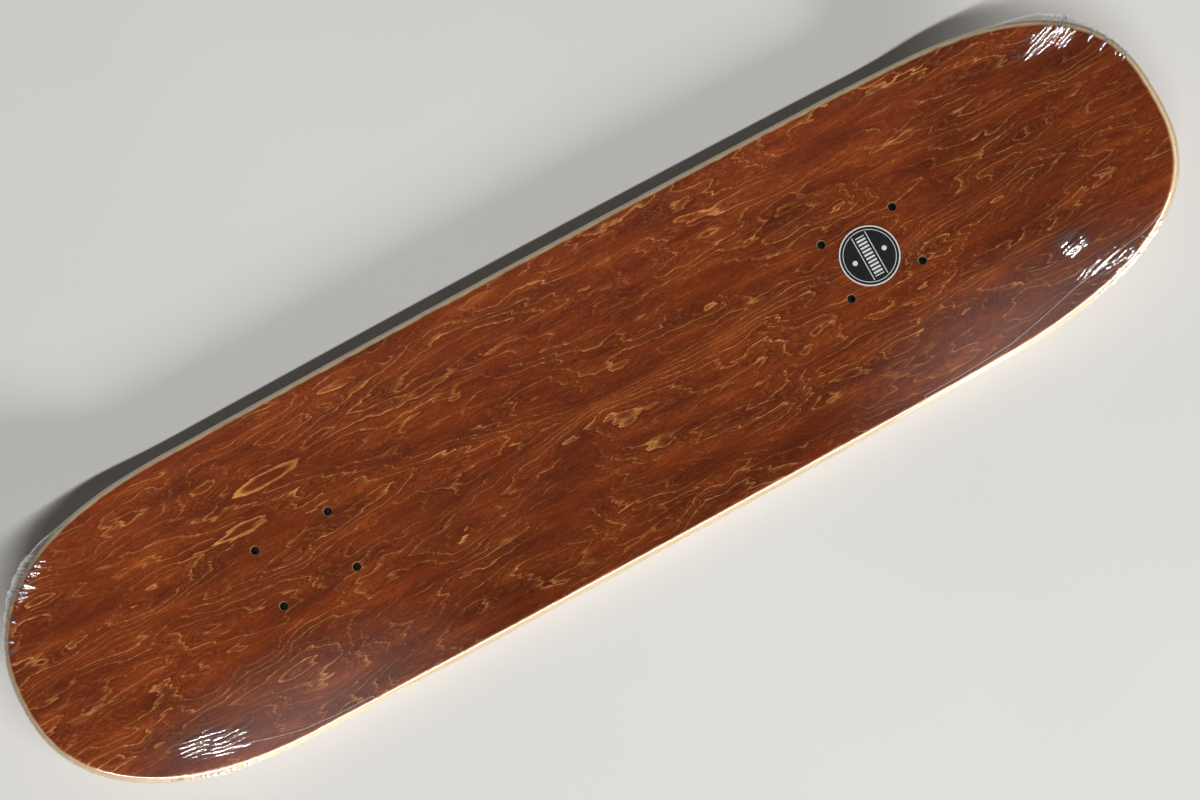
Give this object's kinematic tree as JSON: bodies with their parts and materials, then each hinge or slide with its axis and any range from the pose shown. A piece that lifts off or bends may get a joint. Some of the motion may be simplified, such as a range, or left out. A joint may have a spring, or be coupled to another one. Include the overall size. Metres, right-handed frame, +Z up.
{
  "type": "skateboard deck",
  "caption": "Shrink-wrapped maple skateboard deck with a raised nose and tail, mellow concave, drilled bolt holes and a round label.",
  "frame": {"origin": "centre of the wrapped board's bounding box, at its lowest point, on the surface that the flat underside lies on", "axes": "+X along the board to the nose, +Y across the board, +Z up through the concave top face"},
  "size_m": [0.829, 0.215, 0.0613],
  "materials": {
    "stained_maple": "brown stain on rotary-cut maple, satin",
    "core_maple": "raw maple veneer, grain along the board, sanded edge",
    "cross_maple": "raw maple veneer, grain across the board, sanded edge",
    "bottom_maple": "sealed maple veneer, satin",
    "label": "printed sticker, black with a white rim",
    "shrink_film": "clear glossy shrink film, wrinkled at the corners"
  },
  "bodies": {
    "root": {"top_face_ply": "stained_maple", "upper_core_ply": "core_maple", "upper_cross_ply": "cross_maple", "centre_core_ply": "core_maple", "lower_cross_ply": "cross_maple", "lower_core_ply": "core_maple", "bottom_face_ply": "bottom_maple", "round_label": "label", "film_upper_sheet": "shrink_film", "film_lower_sheet": "shrink_film"}
  },
  "joints": []
}
